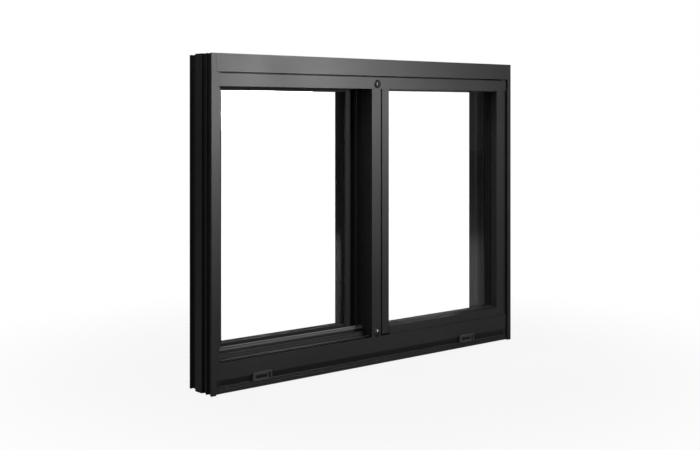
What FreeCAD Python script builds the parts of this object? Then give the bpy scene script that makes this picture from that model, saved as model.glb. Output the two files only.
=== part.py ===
# Horizontal sliding window, seen from outside: a fixed lite on the right in the
# outer glazing pocket, and a sliding sash on the left in the inner track.
# X runs along the window, Y from the outer face into the room, Z up.
# The sketches are drawn from the outer bottom left corner, and every piece is then
# placed so that the origin lies under the middle of the frame.
import FreeCAD, Part
import os
import re

import Sketcher

doc = FreeCAD.newDocument("SlidingWindow")

# Driving sizes, in millimetres
sizes = {
    # Frame
    "frame_width": 762,
    "frame_height": 590,
    "wall": 1.8,
    "jamb_strip": 10,
    "jamb_face": 21,
    "jamb_step": 6,
    "strip_thickness": 4,
    "side_channel": 6,
    "side_channel_end": 31,
    "side_rib": 3,
    "side_rib_start": 17,
    "side_rib_drop": 1,
    "pocket_floor": 12,
    "mid_leg": 4,
    "mid_leg_reach": 20,
    "inner_leg": 2,
    "back_channel_inset": 18,
    "back_channel_depth": 5.5,
    "back_flange": 3,
    "inner_drop": 1.5,
    # Head
    "band_top": 32,
    "band_gap": 2.6,
    "band_gap_depth": 5,
    "face_setback": 4,
    "face_wall": 3,
    "band_foot": 57,
    "glazing_ceiling": 38,
    "sash_ceiling": 30,
    "head_inner_leg_foot": 54,
    "face_side_gap": 0.5,
    # Sill
    "sill_face_top": 54,
    "sill_face_wall": 2,
    "cove_top": 24,
    "cove_foot": 13.5,
    "cove_depth": 3,
    "nose_front": 3,
    "nose_top": 7.5,
    "nose_chamfer": 2,
    "nose_chamfer_depth": 4,
    "drip_groove": 2,
    "drip_groove_depth": 2.5,
    "drip_rib": 3,
    "drip_rib_front": 3.5,
    "gutter": 2.5,
    "gutter_floor": 50,
    "ledge_top": 57,
    "ledge_back": 20,
    "rib_front": 23,
    "rib_back": 26,
    "rib_top": 64.5,
    "mid_leg_top": 74,
    "mid_leg_round": 1.9,
    "track_floor": 30,
    "track_rib": 2,
    "track_rise": 8,
    "track_base": 10,
    "sill_leg_top": 64,
    # Weep covers and their slots
    "weep_left_inset": 88,
    "weep_right_inset": 113,
    "weep_length": 41,
    "weep_top": 27.5,
    "weep_stand": 3.5,
    "weep_rim": 3,
    "weep_recess": 4,
    "weep_slot": 24,
    "weep_slot_rise": 5,
    # Meeting mullion
    "mullion_left": 369,
    "mullion_box": 23,
    "mullion_gap": 3,
    "mullion_gap_depth": 4,
    "bead_tongue": 4,
    "mullion_bead": 18,
    "mullion_wing": 15,
    "wing_lip": 2,
    # Screws
    "screw_inset": 14,
    "screw_top_drop": 47.5,
    "screw_foot": 62,
    "screw_head": 8,
    "screw_dome": 3.4,
    "screw_crown": 4.4,
    "screw_crown_fall": 0.5,
    "screw_shoulder": 7.2,
    "screw_shoulder_rise": 1.5,
    "screw_shank": 2.4,
    "screw_length": 12,
    "shank_clearance": 0.1,
    # Fixed lite
    "bead_face": 3,
    "bead_wall": 2,
    "bead_back": 18,
    "bead_rise": 70.5,
    "bead_sight": 75.5,
    "bead_slope": 10,
    "top_bead_sight": 60.5,
    "top_bead_slope": 2.5,
    "joint_gap": 0.3,
    "outer_seal": 2,
    "inner_seal": 1,
    "block_thickness": 2,
    "pane": 4,
    "cavity": 6,
    "edge_cover": 9,
    "spacer_width": 8,
    "block_length": 60,
    "block_inset": 50,
    # Cover of the inner track at the right jamb
    "cover_reach": 62,
    "cover_shoulder": 43,
    "cover_step": 5,
    "cover_front_gap": 5,
    "cover_back_gap": 0.5,
    "cover_wall": 2,
    # Sliding sash
    "sash_front_gap": 3,
    "sash_back_gap": 2,
    "sash_side_gap": 2,
    "sash_stile": 34,
    "interlock_stile": 39,
    "interlock_lap": 3,
    "sash_rise": 1.5,
    "sash_foot_rail": 39.5,
    "sash_top_sight": 63,
    "sash_top_gap": 4,
    "sash_bite": 12,
    "sash_wall": 2,
    "sash_lip": 3.5,
    "sash_seal": 1.5,
    "stile_lip": 6,
    "stile_lip_proud": 1.5,
    "stile_pull": 8,
    "interlock_groove_start": 8,
    "interlock_groove": 11,
    "interlock_groove_depth": 8,
    "roller_room": 20,
    "roller_radius": 8,
    "roller_width": 5,
    "roller_axle": 2,
    "roller_inset": 40,
    "housing_length": 34,
    "housing_height": 12,
    "housing_width": 14,
    "pile_width": 6,
    "pile_inset": 8,
    "latch_height": 70,
    "latch_width": 16,
    "latch_level": 290,
    "latch_thickness": 2.5,
    "latch_bevel": 1,
    # How far a cut runs on past the piece it cuts
    "cut_over": 1,
}
# Sizes that follow from the glass, its seals, the mullion and the track
derived = {
    "mid_leg_start": "bead_back + outer_seal + 2 * pane + cavity + inner_seal",
    "sash_front": "mid_leg_start + mid_leg + sash_front_gap",
    "sash_back": "sash_front + 2 * (sash_lip + sash_seal + pane) + cavity",
    "frame_depth": "sash_back + sash_back_gap + inner_leg",
    "back_channel_start": "frame_depth - back_channel_inset",
    "track_rib_top": "track_floor + track_rise",
    "sash_bottom": "track_rib_top + sash_rise",
    "sash_foot_sight": "sash_bottom + sash_foot_rail",
    "sash_left_sight": "pocket_floor + sash_side_gap + sash_stile",
    "sash_right": "mullion_left + interlock_lap",
    "sash_right_sight": "sash_right - interlock_stile",
}

sheet = doc.addObject("Spreadsheet::Sheet", "Sizes")
for row, (alias, value) in enumerate(sizes.items(), start=1):
    sheet.set(f"A{row}", alias)
    sheet.set(f"B{row}", str(value))
    sheet.setAlias(f"B{row}", alias)
for row, (alias, formula) in enumerate(derived.items(), start=len(sizes) + 1):
    sheet.set(f"A{row}", alias)
    sheet.set(f"B{row}", f"={formula}")
    sheet.setAlias(f"B{row}", alias)
doc.recompute()


# Ties a formula in plain size names to the cells that hold them
def tied(formula):
    return re.sub(r"[a-z][a-z_]+", lambda name: "Sizes." + name.group(), formula)


def number(formula):
    return float(sheet.evalExpression(tied(formula)))


# A closed outline, each corner given as a pair of formulas
def draw_outline(sketch, corners):
    places = []
    for across, up in corners:
        places.append(FreeCAD.Vector(number(across), number(up), 0))
    first = sketch.GeometryCount
    count = len(corners)
    lines = []
    for index in range(count):
        lines.append(Part.LineSegment(places[index], places[(index + 1) % count]))
    sketch.addGeometry(lines, False)
    joints = []
    for index in range(count):
        following = first + (index + 1) % count
        joints.append(Sketcher.Constraint("Coincident", first + index, 2, following, 1))
    sketch.addConstraint(joints)
    for index, (across, up) in enumerate(corners):
        place = places[index]
        at = sketch.addConstraint(Sketcher.Constraint("DistanceX", first + index, 1, place.x))
        sketch.setExpression(f"Constraints[{at}]", tied(across))
        at = sketch.addConstraint(Sketcher.Constraint("DistanceY", first + index, 1, place.y))
        sketch.setExpression(f"Constraints[{at}]", tied(up))


def box_corners(low_across, low_up, high_across, high_up):
    return [
        (low_across, low_up),
        (high_across, low_up),
        (high_across, high_up),
        (low_across, high_up),
    ]


def draw_on(body, name, plane, outlines, offset=None):
    sketch = body.newObject("Sketcher::SketchObject", name)
    for feature in body.Origin.OriginFeatures:
        if feature.Role == plane:
            sketch.AttachmentSupport = [(feature, "")]
    sketch.MapMode = "FlatFace"
    if offset is not None:
        sketch.setExpression("AttachmentOffset.Base.z", tied(offset))
    for corners in outlines:
        draw_outline(sketch, corners)
    return sketch


half_width = "frame_width / 2"
half_depth = "frame_depth / 2"


# Puts a body at its own start along X and up Z, centred under the frame
def seat(body, along="0", up="0"):
    body.setExpression("Placement.Base.x", tied(f"({along}) - {half_width}"))
    body.setExpression("Placement.Base.y", tied(f"-{half_depth}"))
    body.setExpression("Placement.Base.z", tied(up))


# A length of extrusion that runs along X
def rail(label, outlines, start, end):
    body = doc.addObject("PartDesign::Body", label)
    body.Label = label
    sketch = draw_on(body, label + "_section", "YZ_Plane", outlines)
    pad = body.newObject("PartDesign::Pad", label + "_extrusion")
    pad.Profile = sketch
    pad.setExpression("Length", tied(f"({end}) - ({start})"))
    seat(body, along=start)
    return body


# A length of extrusion that stands along Z
def post(label, outlines, foot, top):
    body = doc.addObject("PartDesign::Body", label)
    body.Label = label
    sketch = draw_on(body, label + "_section", "XY_Plane", outlines)
    pad = body.newObject("PartDesign::Pad", label + "_extrusion")
    pad.Profile = sketch
    pad.setExpression("Length", tied(f"({top}) - ({foot})"))
    seat(body, up=foot)
    return body


# A flat ring or plate in the plane of the window
def plate(label, outlines, front, back):
    body = doc.addObject("PartDesign::Body", label)
    body.Label = label
    sketch = draw_on(body, label + "_outline", "XZ_Plane", outlines)
    pad = body.newObject("PartDesign::Pad", label + "_thickness")
    pad.Profile = sketch
    pad.Reversed = True
    pad.setExpression("Length", tied(f"({back}) - ({front})"))
    body.setExpression("Placement.Base.x", tied(f"-{half_width}"))
    body.setExpression("Placement.Base.y", tied(f"({front}) - {half_depth}"))
    return body


# Copes a body with a cut seen from the side, right through its width
def cope(body, name, corners):
    sketch = draw_on(body, name + "_line", "YZ_Plane", [corners])
    cut = body.newObject("PartDesign::Pocket", name)
    cut.Profile = sketch
    cut.Type = 1
    cut.Midplane = True
    return cut


# Left and right jambs: one hollow extrusion, turned over for the right side
jamb_outline = [
    ("0", "0"),
    ("jamb_strip", "0"),
    ("jamb_strip", "jamb_step"),
    ("jamb_face", "jamb_step"),
    ("jamb_face", "mid_leg_start + mid_leg"),
    ("pocket_floor", "mid_leg_start + mid_leg"),
    ("pocket_floor", "frame_depth - inner_leg"),
    ("jamb_face", "frame_depth - inner_leg"),
    ("jamb_face", "frame_depth"),
    ("0", "frame_depth"),
    ("0", "frame_depth - back_flange"),
    ("back_channel_depth", "frame_depth - back_flange"),
    ("back_channel_depth", "back_channel_start"),
    ("0", "back_channel_start"),
    ("0", "side_channel_end"),
    ("side_channel", "side_channel_end"),
    ("side_channel", "side_rib_start + side_rib"),
    ("side_rib_drop", "side_rib_start + side_rib"),
    ("side_rib_drop", "side_rib_start"),
    ("side_channel", "side_rib_start"),
    ("side_channel", "strip_thickness"),
    ("0", "strip_thickness"),
]
jamb_hollows = [
    box_corners("side_channel + wall", "jamb_step + wall", "jamb_face - wall", "side_channel_end - wall"),
    box_corners("wall", "side_channel_end + wall", "jamb_face - wall", "mid_leg_start + mid_leg - wall"),
    box_corners("wall", "mid_leg_start + mid_leg", "pocket_floor - wall", "back_channel_start - wall"),
    box_corners(
        "back_channel_depth + wall",
        "back_channel_start",
        "pocket_floor - wall",
        "frame_depth - inner_leg - wall",
    ),
]


def from_left(across, up):
    return across, up


def from_right(across, up):
    return f"frame_width - ({across})", up


# The leg between the two tracks is cut back at both ends, over the sill and under the head
jamb_leg = box_corners(
    "jamb_face",
    "mid_leg_start",
    "jamb_face + mid_leg_reach",
    "mid_leg_start + mid_leg",
)
for label, side in (("frame_left_jamb", from_left), ("frame_right_jamb", from_right)):
    outlines = [[side(*corner) for corner in corners] for corners in [jamb_outline] + jamb_hollows]
    jamb = post(label, outlines, "0", "frame_height")
    leg_section = [side(*corner) for corner in jamb_leg]
    leg_sketch = draw_on(jamb, label + "_leg_section", "XY_Plane", [leg_section], "mid_leg_top")
    leg = jamb.newObject("PartDesign::Pad", label + "_leg")
    leg.Profile = leg_sketch
    leg.setExpression("Length", tied("frame_height - band_foot - mid_leg_top"))
    foot_drop = box_corners("back_channel_start", "0 - cut_over", "frame_depth + cut_over", "inner_drop")
    top_drop = box_corners(
        "back_channel_start",
        "frame_height - inner_drop",
        "frame_depth + cut_over",
        "frame_height + cut_over",
    )
    cope(jamb, label + "_foot_drop", foot_drop)
    cope(jamb, label + "_top_drop", top_drop)

inner_left = "jamb_face"
inner_right = "frame_width - jamb_face"
face_left = "jamb_strip + face_side_gap"
face_right = "frame_width - jamb_strip - face_side_gap"


# Measured down from the top of the frame
def down(drop):
    return f"frame_height - ({drop})"


# Head: a front band flush with the jambs, a set-back band, and two pockets below
mid_leg_back = "mid_leg_start + mid_leg"
head_outline = [
    ("0", down("0")),
    ("0", down("band_top")),
    ("band_gap_depth", down("band_top")),
    ("band_gap_depth", down("band_top + band_gap")),
    ("face_setback", down("band_top + band_gap")),
    ("face_setback", down("band_foot")),
    ("face_setback + face_wall", down("band_foot")),
    ("face_setback + face_wall", down("glazing_ceiling")),
    ("mid_leg_start", down("glazing_ceiling")),
    ("mid_leg_start", down("band_foot")),
    (mid_leg_back, down("band_foot")),
    (mid_leg_back, down("sash_ceiling")),
    ("frame_depth - inner_leg", down("sash_ceiling")),
    ("frame_depth - inner_leg", down("head_inner_leg_foot")),
    ("frame_depth", down("head_inner_leg_foot")),
    ("frame_depth", down("inner_drop")),
    ("back_channel_start", down("inner_drop")),
    ("back_channel_start", down("0")),
]
head_front_hollow = [
    ("wall", down("wall")),
    ("wall", down("band_top - wall")),
    ("band_gap_depth + wall", down("band_top - wall")),
    ("band_gap_depth + wall", down("glazing_ceiling - wall")),
    ("mid_leg_start + wall", down("glazing_ceiling - wall")),
    ("mid_leg_start + wall", down("wall")),
]
head_back_hollow = [
    (mid_leg_back, down("wall")),
    (mid_leg_back, down("sash_ceiling - wall")),
    ("frame_depth - wall", down("sash_ceiling - wall")),
    ("frame_depth - wall", down("inner_drop + wall")),
    ("back_channel_start - wall", down("inner_drop + wall")),
    ("back_channel_start - wall", down("wall")),
]
head = rail("frame_head", [head_outline, head_front_hollow, head_back_hollow], inner_left, inner_right)


# The front bands run on past the coped body, over the inner faces of the jambs
def run_on(body, name, corners, start, end, body_start):
    sketch = draw_on(body, name + "_section", "YZ_Plane", [corners], f"({start}) - ({body_start})")
    pad = body.newObject("PartDesign::Pad", name)
    pad.Profile = sketch
    pad.setExpression("Length", tied(f"({end}) - ({start})"))


upper_band = box_corners("0", down("band_top"), "wall", down("0"))
lower_band = box_corners("face_setback", down("band_foot"), "jamb_step", down("band_top + band_gap"))
run_on(head, "head_band_left", upper_band, "jamb_strip", inner_left, inner_left)
run_on(head, "head_band_right", upper_band, inner_right, "frame_width - jamb_strip", inner_left)
run_on(head, "head_face_left", lower_band, face_left, inner_left, inner_left)
run_on(head, "head_face_right", lower_band, inner_right, face_right, inner_left)

# Sill: a deep front face with a coved foot, a gutter, glazing ribs and the inner track
sill_back = "face_setback + sill_face_wall"
cove_in = "face_setback + cove_depth"
rib_foot = "nose_top + drip_groove"
sill_outline = [
    ("nose_front + nose_chamfer_depth", "0"),
    ("nose_front", "nose_chamfer"),
    ("nose_front", "nose_top"),
    ("nose_front + drip_groove_depth", "nose_top"),
    ("nose_front + drip_groove_depth", rib_foot),
    ("drip_rib_front", rib_foot),
    ("drip_rib_front", f"{rib_foot} + drip_rib"),
    (cove_in, f"{rib_foot} + drip_rib"),
    (cove_in, "cove_foot"),
    ("face_setback", "cove_top"),
    ("face_setback", "sill_face_top"),
    (sill_back, "sill_face_top"),
    (sill_back, "gutter_floor"),
    (f"{sill_back} + gutter", "gutter_floor"),
    (f"{sill_back} + gutter", "ledge_top"),
    ("ledge_back", "ledge_top"),
    ("ledge_back", "gutter_floor"),
    ("rib_front", "gutter_floor"),
    ("rib_front", "rib_top"),
    ("rib_back", "rib_top"),
    ("rib_back", "gutter_floor"),
    ("mid_leg_start", "gutter_floor"),
    ("mid_leg_start", "mid_leg_top"),
    (mid_leg_back, "mid_leg_top"),
    (mid_leg_back, "track_floor"),
    ("frame_depth - inner_leg", "track_floor"),
    ("frame_depth - inner_leg", "sill_leg_top"),
    ("frame_depth", "sill_leg_top"),
    ("frame_depth", "inner_drop"),
    ("back_channel_start", "inner_drop"),
    ("back_channel_start", "0"),
]
sill_lower_hollow = [
    (f"{cove_in} + wall", "wall"),
    ("back_channel_start - wall", "wall"),
    ("back_channel_start - wall", "inner_drop + wall"),
    ("frame_depth - wall", "inner_drop + wall"),
    ("frame_depth - wall", "track_floor - wall"),
    (sill_back, "track_floor - wall"),
    (sill_back, "cove_top + wall"),
    (f"{cove_in} + wall", "cove_foot + wall"),
]
sill_upper_hollow = box_corners(sill_back, "track_floor", "mid_leg_start + wall", "gutter_floor - wall")
sill = rail("frame_sill", [sill_outline, sill_lower_hollow, sill_upper_hollow], inner_left, inner_right)
sill_front = [
    ("nose_front", "nose_chamfer"),
    ("nose_front", "nose_top"),
    ("nose_front + drip_groove_depth", "nose_top"),
    ("nose_front + drip_groove_depth", rib_foot),
    ("drip_rib_front", rib_foot),
    ("drip_rib_front", f"{rib_foot} + drip_rib"),
    ("jamb_step - wall / 2", f"{rib_foot} + drip_rib"),
    ("face_setback", "cove_top"),
    ("face_setback", "sill_face_top"),
    ("jamb_step", "sill_face_top"),
    ("jamb_step", "nose_chamfer"),
]
run_on(sill, "sill_face_left", sill_front, face_left, inner_left, inner_left)
run_on(sill, "sill_face_right", sill_front, inner_right, face_right, inner_left)


# Rounds the long edges of an extrusion that pass through given points of its section
def round_long_edges(body, name, places, radius):
    doc.recompute()
    base = body.Tip
    chosen = []
    for index, edge in enumerate(base.Shape.Edges, start=1):
        ends = [vertex.Point for vertex in edge.Vertexes]
        if len(ends) != 2 or abs(ends[0].x - ends[1].x) < number("frame_width") / 2:
            continue
        for across, up in places:
            if abs(ends[0].y - number(across)) < 0.01 and abs(ends[0].z - number(up)) < 0.01:
                chosen.append(f"Edge{index}")
    fillet = body.newObject("PartDesign::Fillet", name)
    fillet.Base = (base, chosen)
    fillet.setExpression("Radius", tied(radius))


round_long_edges(
    sill,
    "mid_leg_rounding",
    [("mid_leg_start", "mid_leg_top"), (mid_leg_back, "mid_leg_top")],
    "mid_leg_round",
)

# Weep slots through the coved foot of the sill, behind the covers
weep_slot_foot = "cove_foot + (cove_top - cove_foot) / 2 - weep_slot_rise / 2"
weep_left = "weep_left_inset"
weep_right = "frame_width - weep_right_inset - weep_length"
for name, start in (("weep_slot_left", weep_left), ("weep_slot_right", weep_right)):
    slot_start = f"{start} + (weep_length - weep_slot) / 2 - ({inner_left})"
    slot = draw_on(
        sill,
        name + "_outline",
        "XZ_Plane",
        [
            box_corners(
                slot_start,
                weep_slot_foot,
                f"{slot_start} + weep_slot",
                f"{weep_slot_foot} + weep_slot_rise",
            )
        ],
    )
    cut = sill.newObject("PartDesign::Pocket", name)
    cut.Profile = slot
    cut.Midplane = True
    cut.setExpression("Length", tied(f"({cove_in} + wall + cut_over) * 2"))

# Track rail that the sash rollers run on, seated on the sill's inner floor
track_middle = "(sash_front + sash_back) / 2"
track_outline = [
    (f"{track_middle} - track_base / 2", "track_floor"),
    (f"{track_middle} + track_base / 2", "track_floor"),
    (f"{track_middle} + track_base / 2", "track_floor + wall"),
    (f"{track_middle} + track_rib / 2", "track_floor + wall"),
    (f"{track_middle} + track_rib / 2", "track_rib_top"),
    (f"{track_middle} - track_rib / 2", "track_rib_top"),
    (f"{track_middle} - track_rib / 2", "track_floor + wall"),
    (f"{track_middle} - track_base / 2", "track_floor + wall"),
]
cover_left = "frame_width - cover_reach"
rail("sill_track", [track_outline], inner_left, f"{cover_left} - joint_gap")

# Weep covers: small hoods that follow the coved foot, open at the front
for label, start in (("weep_cover_left", weep_left), ("weep_cover_right", weep_right)):
    weep_front = "face_setback - weep_stand"
    weep_foot = f"{rib_foot} + drip_rib"
    hood_outline = [
        ("face_setback", "weep_top"),
        (weep_front, "weep_top"),
        (weep_front, weep_foot),
        (cove_in, weep_foot),
        (cove_in, "cove_foot"),
        ("face_setback", "cove_top"),
    ]
    hood = rail(label, [hood_outline], start, f"{start} + weep_length")
    recess = draw_on(
        hood,
        label + "_mouth_outline",
        "XZ_Plane",
        [box_corners("weep_rim", f"{weep_foot} + weep_rim / 2", "weep_length - weep_rim", "weep_top - weep_rim")],
    )
    mouth = hood.newObject("PartDesign::Pocket", label + "_mouth")
    mouth.Profile = recess
    mouth.Midplane = True
    mouth.setExpression("Length", tied("weep_recess * 2"))
    slot_start = "(weep_length - weep_slot) / 2"
    drain = draw_on(
        hood,
        label + "_drain_outline",
        "XZ_Plane",
        [
            box_corners(
                slot_start,
                weep_slot_foot,
                f"{slot_start} + weep_slot",
                f"{weep_slot_foot} + weep_slot_rise",
            )
        ],
    )
    drain_cut = hood.newObject("PartDesign::Pocket", label + "_drain")
    drain_cut.Profile = drain
    drain_cut.Midplane = True
    drain_cut.setExpression("Length", tied(f"({cove_in} + cut_over) * 2"))

# Meeting mullion: a box with a wing each side at the back, coped over sill and head
mullion_right = "mullion_left + mullion_box"
bead_right = f"{mullion_right} + mullion_gap + mullion_bead"
mullion_outline = [
    ("mullion_left", "face_setback"),
    (mullion_right, "face_setback"),
    (mullion_right, "mid_leg_start"),
    (bead_right, "mid_leg_start"),
    (bead_right, mid_leg_back),
    ("mullion_left - mullion_wing", mid_leg_back),
    ("mullion_left - mullion_wing", "mid_leg_start - wing_lip"),
    ("mullion_left - mullion_wing + wing_lip", "mid_leg_start - wing_lip"),
    ("mullion_left - mullion_wing + wing_lip", "mid_leg_start"),
    ("mullion_left", "mid_leg_start"),
]
# Its front wall is thick enough for the screw to hold in it behind the head's band
mullion_hollow = box_corners(
    "mullion_left + wall",
    "face_setback + face_wall + wall",
    f"{mullion_right} - wall",
    f"{mid_leg_back} - wall",
)
mullion_foot = "sill_face_top"
mullion = post("meeting_mullion", [mullion_outline, mullion_hollow], mullion_foot, down("glazing_ceiling"))
wing_front = "mid_leg_start - wing_lip"
foot_cope = [
    (sill_back, "0 - cut_over"),
    (sill_back, f"ledge_top - ({mullion_foot})"),
    ("ledge_back + joint_gap", f"ledge_top - ({mullion_foot})"),
    ("ledge_back + joint_gap", f"rib_top - ({mullion_foot})"),
    (wing_front, f"rib_top - ({mullion_foot})"),
    (wing_front, f"mid_leg_top - ({mullion_foot})"),
    (f"{mid_leg_back} + cut_over", f"mid_leg_top - ({mullion_foot})"),
    (f"{mid_leg_back} + cut_over", "0 - cut_over"),
]
mullion_top = f"frame_height - glazing_ceiling - ({mullion_foot})"
band_level = f"frame_height - band_foot - ({mullion_foot})"
face_cope = box_corners(
    "face_setback - cut_over",
    band_level,
    "face_setback + face_wall",
    f"{mullion_top} + cut_over",
)
wing_cope = box_corners(
    wing_front,
    band_level,
    f"{mid_leg_back} + cut_over",
    f"{mullion_top} + cut_over",
)
cope(mullion, "mullion_foot_cope", foot_cope)
cope(mullion, "mullion_face_cope", face_cope)
cope(mullion, "mullion_wing_cope", wing_cope)

# Glazing bead snapped into the right side of the mullion, leaving a shadow line
bead_start = f"{mullion_right} + mullion_gap"
mullion_bead_outline = [
    (bead_start, "face_setback"),
    (bead_right, "face_setback"),
    (bead_right, "bead_back"),
    (f"{bead_right} - bead_wall", "bead_back"),
    (f"{bead_right} - bead_wall", "face_setback + bead_wall"),
    (f"{bead_start} + bead_wall", "face_setback + bead_wall"),
    (f"{bead_start} + bead_wall", "face_setback + mullion_gap_depth + bead_tongue"),
    (mullion_right, "face_setback + mullion_gap_depth + bead_tongue"),
    (mullion_right, "face_setback + mullion_gap_depth"),
    (bead_start, "face_setback + mullion_gap_depth"),
]
post("mullion_bead", [mullion_bead_outline], "ledge_top", down("band_foot"))

# Fixed lite beads: bottom with a sloped top, top, and right
bottom_bead_outline = [
    ("bead_face", "sill_face_top + joint_gap * 2"),
    ("bead_face", "bead_rise"),
    ("bead_face + bead_slope", "bead_sight"),
    ("bead_back", "bead_sight"),
    ("bead_back", "ledge_top"),
    ("bead_back - bead_wall", "ledge_top"),
    ("bead_back - bead_wall", "bead_sight - bead_wall"),
    ("bead_face + bead_slope", "bead_sight - bead_wall"),
    ("bead_face + bead_wall", "bead_rise - bead_wall / 2"),
    ("bead_face + bead_wall", "sill_face_top + joint_gap * 2"),
]
rail("fixed_bottom_bead", [bottom_bead_outline], bead_right, inner_right)
top_bead_front = "face_setback + face_wall"
top_bead_outline = [
    (top_bead_front, down("glazing_ceiling")),
    (top_bead_front, down("top_bead_sight - top_bead_slope")),
    ("bead_back", down("top_bead_sight")),
    ("bead_back", down("glazing_ceiling")),
    ("bead_back - bead_wall", down("glazing_ceiling")),
    ("bead_back - bead_wall", down("top_bead_sight - bead_wall")),
    (f"{top_bead_front} + bead_wall", down("top_bead_sight - top_bead_slope - bead_wall")),
    (f"{top_bead_front} + bead_wall", down("glazing_ceiling")),
]
rail("fixed_top_bead", [top_bead_outline], bead_right, inner_right)
right_sight = f"{inner_right} - mid_leg_reach"
right_bead_outline = [
    (right_sight, "bead_face"),
    (inner_right, "bead_face"),
    (inner_right, "bead_back"),
    (f"{inner_right} - bead_wall", "bead_back"),
    (f"{inner_right} - bead_wall", "bead_face + bead_wall"),
    (f"{right_sight} + bead_wall", "bead_face + bead_wall"),
    (f"{right_sight} + bead_wall", "bead_back"),
    (right_sight, "bead_back"),
]
right_bead = post("fixed_right_bead", [right_bead_outline], "bead_rise", down("band_foot"))
slope_cope = [
    ("bead_face - cut_over", "0"),
    ("bead_face", "0"),
    ("bead_face + bead_slope", "bead_sight - bead_rise"),
    ("bead_back + cut_over", "bead_sight - bead_rise"),
    ("bead_back + cut_over", "0 - cut_over"),
    ("bead_face - cut_over", "0 - cut_over"),
]
bead_length = "frame_height - band_foot - bead_rise"
head_cope = [
    (top_bead_front, f"{bead_length} + cut_over"),
    (top_bead_front, "frame_height - top_bead_sight + top_bead_slope - bead_rise"),
    ("bead_back", "frame_height - top_bead_sight - bead_rise"),
    ("bead_back + cut_over", "frame_height - top_bead_sight - bead_rise"),
    ("bead_back + cut_over", f"{bead_length} + cut_over"),
]
cope(right_bead, "right_bead_foot_cope", slope_cope)
cope(right_bead, "right_bead_head_cope", head_cope)

# Insulating glass of the fixed lite: two panes on a spacer, between outer and inner seals
lite_left = f"{bead_right} - edge_cover"
lite_right = f"{right_sight} + edge_cover"
lite_foot = "rib_top + block_thickness"
lite_top = down("top_bead_sight - edge_cover")
pane_front = "bead_back + outer_seal"
pane_middle = f"{pane_front} + pane"
pane_inner = f"{pane_middle} + cavity"
pane_back = f"{pane_inner} + pane"


def ring(left, foot, right, top, width):
    inside = box_corners(
        f"{left} + {width}",
        f"{foot} + {width}",
        f"{right} - {width}",
        f"{top} - {width}",
    )
    return [box_corners(left, foot, right, top), inside]


lite = (lite_left, lite_foot, lite_right, lite_top)
plate("fixed_outer_pane", [box_corners(*lite)], pane_front, pane_middle)
plate("fixed_inner_pane", [box_corners(*lite)], pane_inner, pane_back)
plate("fixed_spacer", ring(*lite, "spacer_width"), pane_middle, pane_inner)
plate("fixed_outer_seal", ring(*lite, "spacer_width"), "bead_back", pane_front)
plate("fixed_inner_seal", ring(*lite, "spacer_width"), pane_back, "mid_leg_start")


# Two setting blocks under the glass of a panel, joined in one node
def setting_blocks(label, left, right, front, back, foot, top):
    blocks = []
    for side, start in (("a", f"{left} + block_inset"), ("b", f"{right} - block_inset - block_length")):
        block = doc.addObject("Part::Box", f"{label}_{side}")
        block.setExpression("Length", tied("block_length"))
        block.setExpression("Width", tied(f"({back}) - ({front})"))
        block.setExpression("Height", tied(f"({top}) - ({foot})"))
        block.setExpression("Placement.Base.x", tied(f"({start}) - {half_width}"))
        block.setExpression("Placement.Base.y", tied(f"({front}) - {half_depth}"))
        block.setExpression("Placement.Base.z", tied(foot))
        blocks.append(block)
    pair = doc.addObject("Part::Compound", label)
    pair.Label = label
    pair.Links = blocks
    return pair


setting_blocks("fixed_setting_blocks", lite_left, lite_right, pane_front, pane_back, "rib_top", lite_foot)

# Cover that closes the inner track at the right jamb and stops the sash
cover_start = f"{mid_leg_back} + cover_front_gap"
cover_end = "frame_depth - inner_leg - cover_back_gap"
cover_foot = "frame_width - pocket_floor"
cover_shoulder_left = "frame_width - cover_shoulder"
cover_face = f"{cover_start} + cover_step"
cover_outline = [
    (cover_left, cover_face),
    (cover_shoulder_left, cover_face),
    (cover_shoulder_left, cover_start),
    (cover_foot, cover_start),
    (cover_foot, f"{cover_start} + cover_wall"),
    (f"{cover_shoulder_left} + cover_wall", f"{cover_start} + cover_wall"),
    (f"{cover_shoulder_left} + cover_wall", f"{cover_face} + cover_wall"),
    (f"{cover_left} + cover_wall", f"{cover_face} + cover_wall"),
    (f"{cover_left} + cover_wall", f"{cover_end} - cover_wall"),
    (cover_foot, f"{cover_end} - cover_wall"),
    (cover_foot, cover_end),
    (cover_left, cover_end),
]
post("right_jamb_cover", [cover_outline], "track_floor", down("sash_ceiling"))

# Sliding sash: two stiles with rails between them, each with a glazing pocket
sash_left = "pocket_floor + sash_side_gap"
pocket_front = "sash_front + sash_lip"
pocket_back = "sash_back - sash_lip"
sash_top = down("sash_ceiling + sash_top_gap")
left_stile_outline = [
    (sash_left, "sash_front"),
    ("sash_left_sight", "sash_front"),
    ("sash_left_sight", pocket_front),
    ("sash_left_sight - sash_bite", pocket_front),
    ("sash_left_sight - sash_bite", pocket_back),
    ("sash_left_sight", pocket_back),
    ("sash_left_sight", "sash_back"),
    (sash_left, "sash_back"),
]
left_stile_hollow = box_corners(
    f"{sash_left} + sash_wall",
    "sash_front + sash_wall",
    "sash_left_sight - sash_bite - sash_wall",
    "sash_back - sash_wall",
)
post("sash_left_stile", [left_stile_outline, left_stile_hollow], "sash_bottom", sash_top)
groove_left = "sash_right_sight + stile_lip + interlock_groove_start"
groove_floor = "sash_front + interlock_groove_depth"
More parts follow.
